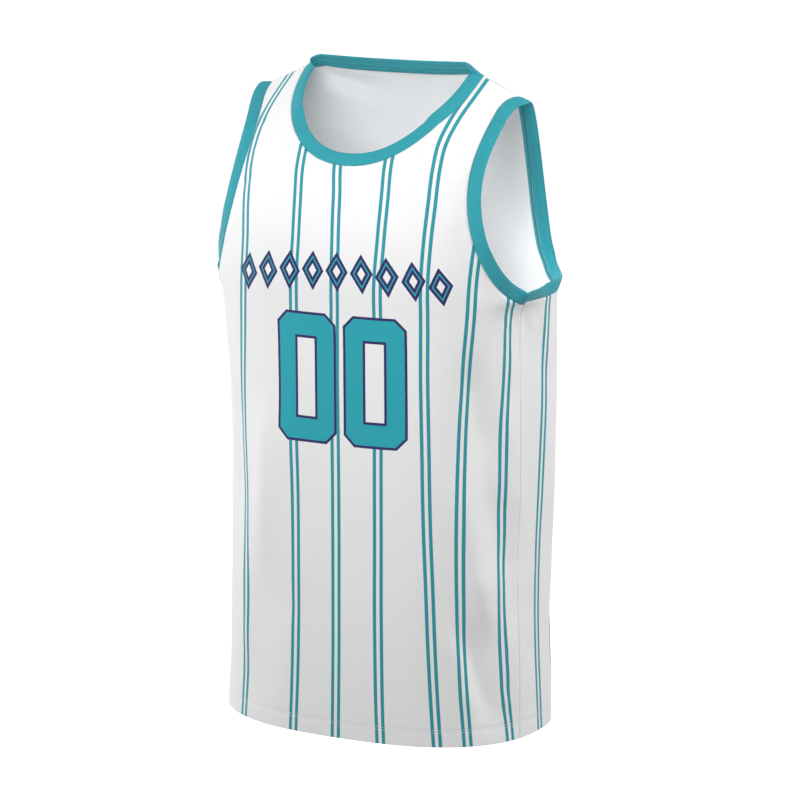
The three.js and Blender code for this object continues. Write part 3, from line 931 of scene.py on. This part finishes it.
def loop_of(runs):
    """A closed loop of point, normal and lean, from runs of (panel, side, places, lean)."""
    stations = []
    for panel, side, places, lean in runs:
        across = side * places[:, 0]
        points = drape_points(panel, across, places[:, 1])
        normals = outward(drape_points, panel, across, places[:, 1])
        stations.append(np.column_stack([points, normals, np.broadcast_to(lean, len(places))]))
    return np.concatenate(stations)


def neck_loop():
    s = np.linspace(0, 1, 160)
    front, back = neck_line(FRONT, s), neck_line(BACK, s)
    return loop_of([
        (FRONT, -1, front[:0:-1], 0.0), (FRONT, 1, front[:-1], 0.0),
        (BACK, 1, back[:0:-1], 0.0), (BACK, -1, back[:-1], 0.0),
    ])


def armhole_loop(side):
    s = np.linspace(0, 1, 220)
    front, back = cut_armhole(FRONT, side, s), cut_armhole(BACK, side, s)
    foot, middle, top = ARMHOLE_LEAN[side]
    lean = foot + (middle - foot) * smooth(s / 0.5) + (top - middle) * smooth((s - 0.55) / 0.45)
    return loop_of([
        (FRONT, side, front[:-1], lean[:-1]), (BACK, side, back[:0:-1], lean[:0:-1]),
    ])


def sweep(points, inward, lift, section, closed=True):
    """A closed section carried round a loop, or along an open line with its ends capped."""
    count, sides = len(points), len(section)
    rings = (
        points[:, None, :]
        + inward[:, None, :] * section[None, :, 0:1]
        + lift[:, None, :] * section[None, :, 1:2]
    )
    faces = []
    for k in range(count if closed else count - 1):
        after = (k + 1) % count
        for j in range(sides):
            other = (j + 1) % sides
            faces.append((k * sides + j, after * sides + j, after * sides + other, k * sides + other))
    if not closed:
        last = (count - 1) * sides
        faces.append(tuple(range(sides)))
        faces.append(tuple(last + j for j in range(sides))[::-1])
    return rings.reshape(-1, 3), faces


def flip_if_inside_out(points, faces):
    volume = 0.0
    for face in faces:
        a = points[face[0]]
        for k in range(1, len(face) - 1):
            volume += a.dot(np.cross(points[face[k]], points[face[k + 1]]))
    return [face[::-1] for face in faces] if volume < 0 else faces


def stitches(points, along, lift, length, radius, every):
    """Short rounded threads lying along a line, one at each of every so many stations."""
    verts, faces = [], []
    sides = 6
    profile = ((-0.5, 0.25), (-0.36, 0.85), (0.0, 1.0), (0.36, 0.85), (0.5, 0.25))
    across = np.cross(along, lift)
    for k in range(0, len(points), every):
        base = len(verts)
        for share, width in profile:
            for j in range(sides):
                turn = 2 * math.pi * j / sides
                off = across[k] * math.cos(turn) + lift[k] * math.sin(turn)
                verts.append(points[k] + along[k] * share * length + off * radius * width)
        for r in range(len(profile) - 1):
            for j in range(sides):
                other = (j + 1) % sides
                low = base + r * sides
                faces.append((low + j, low + other, low + sides + other, low + sides + j))
        faces.append(tuple(base + j for j in range(sides))[::-1])
        faces.append(tuple(base + (len(profile) - 1) * sides + j for j in range(sides)))
    return np.array(verts), faces


def join_parts(parts):
    """Joins (points, faces, slot, uv) parts into one list each."""
    points, faces, slots, uvs = [], [], [], []
    start = 0
    for part_points, part_faces, slot, uv in parts:
        points.append(part_points)
        faces += [tuple(start + k for k in face) for face in part_faces]
        slots += [slot] * len(part_faces)
        uvs.append(uv if uv is not None else np.zeros((len(part_points), 2)))
        start += len(part_points)
    return np.concatenate(points), faces, slots, np.concatenate(uvs)


def binding_object(name, loop):
    points, normals, tip, girth = even_loop(loop, BAND_SPACING)
    points = soften(points, 4)
    along = loop_along(points)
    normals = square_to(soften(normals, 7), along)
    inward = square_to(soften(np.cross(along, normals), 6), normals)
    if np.sum(inward * (points.mean(axis=0) - points)) < 0:
        inward = -inward
    lean = unit(soften(unit(inward + tip * normals), 5))
    lift = square_to(normals, lean)
    count = len(points)
    at = np.arange(count) * girth / count
    parts = []
    for section, inner in ((BAND_SECTION, lean), (ALLOWANCE_SECTION, inward)):
        up = lift if inner is lean else normals
        ring, faces = sweep(points, inner, up, section)
        faces = flip_if_inside_out(ring, faces)
        uv = pairs(np.repeat(at, len(section)), np.tile(section[:, 0], count))
        parts.append((ring, faces, 0, uv))
    band = to_mesh(name, *join_parts(parts))
    rows = []
    for way, depth, length, radius in THREAD_ROWS:
        row = points - inward * way - normals * depth
        rows.append((*stitches(row, along, normals, length, radius, 2), 0, None))
    threads = to_mesh(name + "_stitches", *join_parts(rows))
    return band, threads, girth


def hem_stitches(name):
    """Two rows of stitches above the hem on each panel."""
    parts = []
    for panel in (FRONT, BACK):
        for above in HEM_STITCH_ROWS:
            height = HEM_HEIGHT + above
            edge = float(half_width(panel, np.array([height]))[0]) - HEM_THREAD_SHORT
            across = np.arange(-edge, edge, HEM_THREAD_SPACING)
            level = np.full(len(across), height)
            points = cloth_points(panel, across, level)
            normals = outward(cloth_points, panel, across, level)
            along = unit(np.gradient(points, axis=0))
            lift = normals - along * np.sum(normals * along, axis=1, keepdims=True)
            raised = points + lift * HEM_THREAD_LIFT
            row = stitches(raised, along, lift, HEM_THREAD_LENGTH, HEM_THREAD_RADIUS, 1)
            parts.append((*row, 0, None))
    return to_mesh(name, *join_parts(parts))


# Seam allowances inside the sides and the shoulders, overlocked and pressed to the back

SEAM_SECTION = np.array([
    (-1.3, -1.05), (-0.3, -0.9), (0.4, -0.9), (2.0, -1.3), (5.0, -1.02), (8.2, -1.0), (8.9, -1.35),
    (8.4, -1.95), (5.0, -2.1), (2.0, -2.2), (0.3, -2.1), (-1.1, -1.6),
])
# Threads on them: way out from the seam, depth, length and radius
OVERLOCK_ROWS = ((0.9, 2.2, 1.9, 0.22), (4.4, 2.14, 1.6, 0.2), (8.3, 1.9, 1.6, 0.24))
SEAM_SPACING = 2.6


def side_seam_line(side):
    """The side seam's places in the front panel, from the hem's turn-up to the underarm."""
    top = cut_armhole(FRONT, side, np.zeros(1))[0, 1] - 1.0
    heights = np.arange(HEM_HEIGHT + 4.0, top, SEAM_SPACING)
    return side * half_width(FRONT, heights), heights


def shoulder_seam_line(side):
    """The shoulder seam's places in the front panel, from the armhole to the neck."""
    across = np.arange(FRONT["shoulder_x"] - 1.0, FRONT["neck_x"] + 1.0, -SEAM_SPACING)
    return side * across, np.full(len(across), FRONT["length"])


# The shoulder's allowance lies wholly behind the ridge of its seam: way back and depth
SHOULDER_SHIFT = np.array([1.7, -0.2])


def under_back(points, way, depth):
    """Places inside the back panel beside the shoulder seam, where the cloth curves away fast."""
    across = np.linspace(-BACK["shoulder_x"], BACK["shoulder_x"], 400)
    ends = drape_points(BACK, across, np.full(len(across), BACK["length"]))[:, 0]
    order = np.argsort(ends)
    own = np.interp(points[:, 0], ends[order], across[order])
    height = np.full(len(own), BACK["length"] - way)
    return drape_points(BACK, own, height) + outward(drape_points, BACK, own, height) * depth


def soften_open(values, reach):
    """Evens out a run of directions with a window of the given reach on each side."""
    padded = np.pad(values, ((reach, reach), (0, 0)), mode="edge")
    total = np.zeros_like(values)
    for k in range(2 * reach + 1):
        total += padded[k:k + len(values)]
    return unit(total)


def seam_strip(name, line, on_shoulder):
    """An allowance laid along a seam of the front panel, with its overlock threads."""
    across, heights = line
    points = drape_points(FRONT, across, heights)
    normals = soften_open(outward(drape_points, FRONT, across, heights), 4)
    along = unit(np.gradient(points, axis=0))
    to_back = unit(np.cross(along, normals))
    if np.sum(to_back[:, 1]) < 0:
        to_back = -to_back

    def place(way, depth):
        if on_shoulder:
            return under_back(points, way + SHOULDER_SHIFT[0], depth + SHOULDER_SHIFT[1])
        return points + to_back * way + normals * depth

    _, faces = sweep(points, to_back, normals, SEAM_SECTION, closed=False)
    ring = np.stack([place(way, depth) for way, depth in SEAM_SECTION], axis=1).reshape(-1, 3)
    faces = flip_if_inside_out(ring, faces)
    run = np.arange(len(points)) * SEAM_SPACING
    uv = pairs(np.tile(SEAM_SECTION[:, 0], len(points)), np.repeat(run, len(SEAM_SECTION)))
    parts = [(ring, faces, 0, uv)]
    for way, depth, length, radius in OVERLOCK_ROWS:
        parts.append((*stitches(place(way, -depth), along, normals, length, radius, 1), 1, None))
    return to_mesh(name, *join_parts(parts))


# Materials: a finely knitted cloth, its printed inks, a rib and a thread

INKS = {
    "cloth": (0.86, 0.862, 0.87),
    "stripe": (0.025, 0.3, 0.36),
    "teal": (0.018, 0.365, 0.44),
    "navy": (0.025, 0.022, 0.12),
    "lining": (0.85, 0.852, 0.862),
}
RIB_COLOUR = (0.028, 0.335, 0.4)
WHITE_THREAD = (0.84, 0.845, 0.86)
TEAL_THREAD = (0.02, 0.27, 0.33)
# Periods of the knit and of the thread, in metres
WALE = 0.00115
COURSE = 0.0009
RIB_PERIOD = 0.0013
THREAD_TWIST = 0.00045


class Nodes:
    """A material's node tree, with short calls."""

    def __init__(self, name):
        self.material = bpy.data.materials.new(name)
        self.material.use_nodes = True
        self.tree = self.material.node_tree
        self.shader = self.tree.nodes["Principled BSDF"]

    def add(self, kind, **settings):
        node = self.tree.nodes.new(kind)
        for key, value in settings.items():
            if key in node.inputs:
                node.inputs[key].default_value = value
            else:
                setattr(node, key, value)
        return node

    def join(self, out, into):
        self.tree.links.new(out, into)

    def level(self, socket, value):
        self.shader.inputs[socket].default_value = value

    def wave(self, place, period, along, distortion=0.0, profile="SIN"):
        node = self.add("ShaderNodeTexWave", bands_direction=along, wave_profile=profile)
        node.inputs["Scale"].default_value = 2 * math.pi / (20 * period)
        node.inputs["Distortion"].default_value = distortion
        self.join(place, node.inputs["Vector"])
        return node.outputs["Fac"]

    def noise(self, place, scale, detail=3.0):
        node = self.add("ShaderNodeTexNoise", Scale=scale, Detail=detail)
        self.join(place, node.inputs["Vector"])
        return node.outputs["Fac"]

    def math(self, operation, a, b):
        node = self.add("ShaderNodeMath", operation=operation)
        for socket, value in zip(node.inputs, (a, b)):
            if isinstance(value, float):
                socket.default_value = value
            else:
                self.join(value, socket)
        return node.outputs[0]

    def blend(self, a, share, b):
        return self.math("ADD", self.math("MULTIPLY", a, share), self.math("MULTIPLY", b, 1 - share))

    def spread(self, value, low, high):
        node = self.add("ShaderNodeMapRange")
        node.inputs["To Min"].default_value = low
        node.inputs["To Max"].default_value = high
        self.join(value, node.inputs["Value"])
        return node.outputs["Result"]

    def tint(self, value, dark, light):
        node = self.add("ShaderNodeMix", data_type="RGBA")
        node.inputs[6].default_value = (*dark, 1)
        node.inputs[7].default_value = (*light, 1)
        self.join(value, node.inputs[0])
        self.join(node.outputs[2], self.shader.inputs["Base Color"])

    def bump(self, height, distance, strength):
        node = self.add("ShaderNodeBump", Distance=distance, Strength=strength)
        self.join(height, node.inputs["Height"])
        self.join(node.outputs["Normal"], self.shader.inputs["Normal"])


def shaded(colour, share):
    return tuple(channel * share for channel in colour)


def knit_material(name, colour):
    """Cloth of fine wales and courses, a little uneven in tone and roughness, with painted shade in the
    knit's hollows.
    """
    n = Nodes(name)
    uv = n.add("ShaderNodeUVMap", uv_map="cloth").outputs["UV"]
    wales = n.wave(uv, WALE, "X")
    courses = n.wave(uv, COURSE, "Y", 0.6)
    knit = n.math("MULTIPLY", wales, courses)
    fuzz = n.noise(uv, 900.0)
    soft = n.noise(uv, 21.0, 4.0)
    n.bump(n.math("ADD", knit, n.math("MULTIPLY", fuzz, 0.45)), 0.00022, 0.5)
    # Colour: random mottling, plus painted shade that darkens the hollows of the knit's bump
    n.tint(n.blend(soft, 0.7, knit), shaded(colour, 0.965), colour)
    n.join(n.spread(soft, 0.72, 0.86), n.shader.inputs["Roughness"])
    n.level("Specular IOR Level", 0.28)
    n.level("Sheen Weight", 0.15)
    n.level("Sheen Roughness", 0.45)
    return n.material


def rib_material(name, colour):
    """Rib knit whose fine ribs run from the seam to the folded edge, with painted shade in the valleys
    between the ribs and a painted highlight on their crests.
    """
    n = Nodes(name)
    uv = n.add("ShaderNodeUVMap", uv_map="cloth").outputs["UV"]
    ribs = n.wave(uv, RIB_PERIOD, "X", 0.3)
    loops = n.wave(uv, COURSE, "Y", 0.8)
    fuzz = n.noise(uv, 800.0)
    soft = n.noise(uv, 26.0, 4.0)
    loops_and_fuzz = n.math("ADD", n.math("MULTIPLY", loops, 0.25), n.math("MULTIPLY", fuzz, 0.4))
    n.bump(n.math("ADD", ribs, loops_and_fuzz), 0.00025, 0.5)
    # Colour: random mottling, plus painted shade between the ribs and a painted highlight on their crests
    n.tint(n.blend(soft, 0.65, ribs), shaded(colour, 0.87), shaded(colour, 1.06))
    n.join(n.spread(soft, 0.74, 0.88), n.shader.inputs["Roughness"])
    n.level("Specular IOR Level", 0.25)
    n.level("Sheen Weight", 0.12)
    n.level("Sheen Roughness", 0.5)
    return n.material


def thread_material(name, colour):
    """Twisted thread."""
    n = Nodes(name)
    place = n.add("ShaderNodeTexCoord").outputs["Object"]
    twist = n.wave(place, THREAD_TWIST, "DIAGONAL")
    fuzz = n.noise(place, 1500.0)
    n.bump(n.math("ADD", twist, fuzz), 0.0001, 0.5)
    n.tint(n.noise(place, 260.0), shaded(colour, 0.85), colour)
    n.level("Roughness", 0.6)
    n.level("Specular IOR Level", 0.35)
    return n.material


cloth_materials = [knit_material(f"jersey_{ink}", INKS[ink]) for ink in PANEL_SLOTS]
rib = rib_material("jersey_rib", RIB_COLOUR)
white_thread = thread_material("white_thread", WHITE_THREAD)
teal_thread = thread_material("teal_thread", TEAL_THREAD)


# The pieces

def settle(obj, materials, node=None):
    for material in materials:
        obj.data.materials.append(material)
    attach(obj, "root")
    if node:
        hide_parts(node)
    return obj


front = settle(panel_object(FRONT, "front_cloth"), cloth_materials, "front_panel")
back = settle(panel_object(BACK, "back_cloth"), cloth_materials, "back_panel")
hem_threads = settle(hem_stitches("hem_stitches"), [white_thread])
seam_strips = {
    f"{place}_seam_{word}": seam_strip(f"{place}_seam_{word}", line(side), place == "shoulder")
    for place, line in (("side", side_seam_line), ("shoulder", shoulder_seam_line))
    for word, side in (("left", 1), ("right", -1))
}
lining_cloth = cloth_materials[PANEL_SLOTS.index("lining")]
for strip in seam_strips.values():
    settle(strip, [lining_cloth, white_thread])

BINDINGS = (
    ("neck_band", "neck_binding", neck_loop()),
    ("armhole_band_left", "armhole_binding_left", armhole_loop(1)),
    ("armhole_band_right", "armhole_binding_right", armhole_loop(-1)),
)
for name, node, loop in BINDINGS:
    band, threads, girth = binding_object(name, loop)
    settle(band, [rib], node)
    settle(threads, [teal_thread])


def flat_cut(panel):
    """The panel's cut: its greatest width, its length with the turned-up hem, its area."""
    outline = panel_border(panel)
    width, length = (outline.max(axis=0) - outline.min(axis=0)) * MM
    after = np.roll(outline, -1, axis=0)
    area = abs(np.sum(outline[:, 0] * after[:, 1] - outline[:, 1] * after[:, 0])) / 2
    return (float(width), float(length)), float(area * MM * MM)


for obj, panel in ((front, FRONT), (back, BACK)):
    flat, area = flat_cut(panel)


# Floor, light and camera

FLOOR_Z = -1.12
FLOOR_SIZE = 60.0
FLOOR_GLOW = 0.69
WORLD_LIGHT = 0.37
# Area lights: place, aim, size and power
LIGHTS = (
    ("key_light", (0.1, -1.2, 0.5), (0.0, -0.1, -0.25), 1.1, 15.4),
    ("right_light", (1.7, 0.9, 0.65), (0.0, 0.0, -0.35), 0.7, 28.0),
    ("left_light", (-1.9, 0.1, -0.1), (0.0, 0.0, -0.45), 0.9, 18.5),
)
# A small soft light hung inside, so that the inner cloth isn't lost in shade
INNER_LIGHT_PLACE = (0.13, 0.0, -0.24)
INNER_LIGHT_RADIUS = 0.06
INNER_LIGHT_POWER = 0.22


def studio():
    mesh = bpy.data.meshes.new("floor")
    half = FLOOR_SIZE / 2
    corners = [(-half, -half), (half, -half), (half, half), (-half, half)]
    mesh.from_pydata([(x, y, FLOOR_Z) for x, y in corners], [], [(0, 1, 2, 3)])
    floor = put("floor", mesh)
    n = Nodes("floor_paper")
    place = n.add("ShaderNodeTexCoord").outputs["Object"]
    grain = n.noise(place, 90.0, 4.0)
    n.tint(grain, (0.93, 0.93, 0.932), (0.95, 0.95, 0.95))
    n.bump(grain, 0.0005, 0.1)
    n.level("Roughness", 0.9)
    n.level("Specular IOR Level", 0.1)
    n.level("Emission Color", (1.0, 1.0, 1.0, 1.0))
    n.level("Emission Strength", FLOOR_GLOW)
    mesh.materials.append(n.material)
    floor.visible_diffuse = False

    world = bpy.data.worlds.new("studio")
    bpy.context.scene.world = world
    world.use_nodes = True
    background = world.node_tree.nodes["Background"]
    background.inputs["Color"].default_value = (1.0, 1.0, 1.0, 1.0)
    background.inputs["Strength"].default_value = WORLD_LIGHT

    for name, place, target, size, power in LIGHTS:
        light = bpy.data.lights.new(name, "AREA")
        light.shape = "DISK"
        light.size = size
        light.energy = power
        lamp = put(name, light)
        lamp.location = place
        lamp.rotation_euler = (Vector(target) - Vector(place)).to_track_quat("-Z", "Y").to_euler()
    glow = bpy.data.lights.new("inner_light", "POINT")
    glow.energy = INNER_LIGHT_POWER
    glow.shadow_soft_size = INNER_LIGHT_RADIUS
    lamp = put("inner_light", glow)
    lamp.location = INNER_LIGHT_PLACE
    lamp.visible_camera = False


CAMERA_YAW = math.radians(26.911)
CAMERA_RISE = math.radians(11.966)
CAMERA_DISTANCE = 3.969658
CAMERA_ACROSS = 0.009255
CAMERA_SHIFT_BACK = 0.003286
CAMERA_AIM_Z = -0.391171
PICTURE_MM = 1.165
SENSOR = 36.0
PICTURE_SIZE = 800


def camera():
    yaw, rise = CAMERA_YAW, CAMERA_RISE
    back_way = Vector((
        math.sin(yaw) * math.cos(rise), -math.cos(yaw) * math.cos(rise), math.sin(rise),
    ))
    right = Vector((math.cos(yaw), math.sin(yaw), 0.0))
    aim = Vector((0.0, -CAMERA_SHIFT_BACK, CAMERA_AIM_Z)) + right * CAMERA_ACROSS
    data = bpy.data.cameras.new("camera")
    data.sensor_width = SENSOR
    data.lens = CAMERA_DISTANCE / (PICTURE_MM * MM * PICTURE_SIZE) * SENSOR
    data.clip_end = 100.0
    eye = put("camera", data)
    eye.location = aim + back_way * CAMERA_DISTANCE
    eye.rotation_euler = (-back_way).to_track_quat("-Z", "Y").to_euler()
    bpy.context.scene.camera = eye


studio()
camera()
bpy.context.scene.view_settings.view_transform = "Standard"
